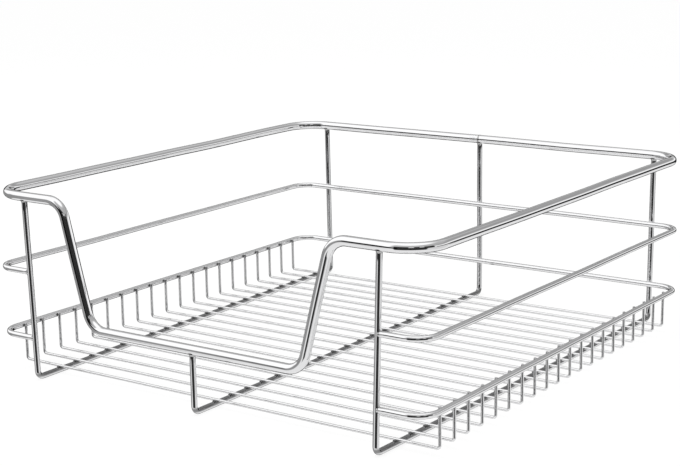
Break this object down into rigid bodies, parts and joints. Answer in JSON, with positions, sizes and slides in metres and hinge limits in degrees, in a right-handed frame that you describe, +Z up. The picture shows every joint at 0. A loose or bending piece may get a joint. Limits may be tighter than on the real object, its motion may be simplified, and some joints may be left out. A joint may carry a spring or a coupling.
{
  "type": "pull-out wire drawer basket",
  "caption": "Rectangular chromed wire drawer basket with a thick rim that dips at the front, side rings and a base of cross wires.",
  "frame": {"origin": "middle of the footprint on the standing plane", "axes": "+X to the right seen from the front, +Y from the dipped front to the back, +Z up"},
  "size_m": [0.535, 0.556, 0.2],
  "materials": {
    "rim_chrome": "bright chrome plating on drawn steel wire",
    "wire_chrome": "bright chrome plating on drawn steel wire",
    "base_wire_chrome": "bright chrome plating on thin drawn steel wire"
  },
  "bodies": {
    "root": {"top_rim": "rim_chrome", "middle_ring": "wire_chrome", "lower_ring": "wire_chrome", "left_frame": "wire_chrome", "centre_frame": "wire_chrome", "right_frame": "wire_chrome", "base_wire_01": "base_wire_chrome", "base_wire_02": "base_wire_chrome", "base_wire_03": "base_wire_chrome", "base_wire_04": "base_wire_chrome", "base_wire_05": "base_wire_chrome", "base_wire_06": "base_wire_chrome", "base_wire_07": "base_wire_chrome", "base_wire_08": "base_wire_chrome", "base_wire_09": "base_wire_chrome", "base_wire_10": "base_wire_chrome", "base_wire_11": "base_wire_chrome", "base_wire_12": "base_wire_chrome", "base_wire_13": "base_wire_chrome", "base_wire_14": "base_wire_chrome", "base_wire_15": "base_wire_chrome", "base_wire_16": "base_wire_chrome", "base_wire_17": "base_wire_chrome", "base_wire_18": "base_wire_chrome", "base_wire_19": "base_wire_chrome", "base_wire_20": "base_wire_chrome"}
  },
  "joints": []
}
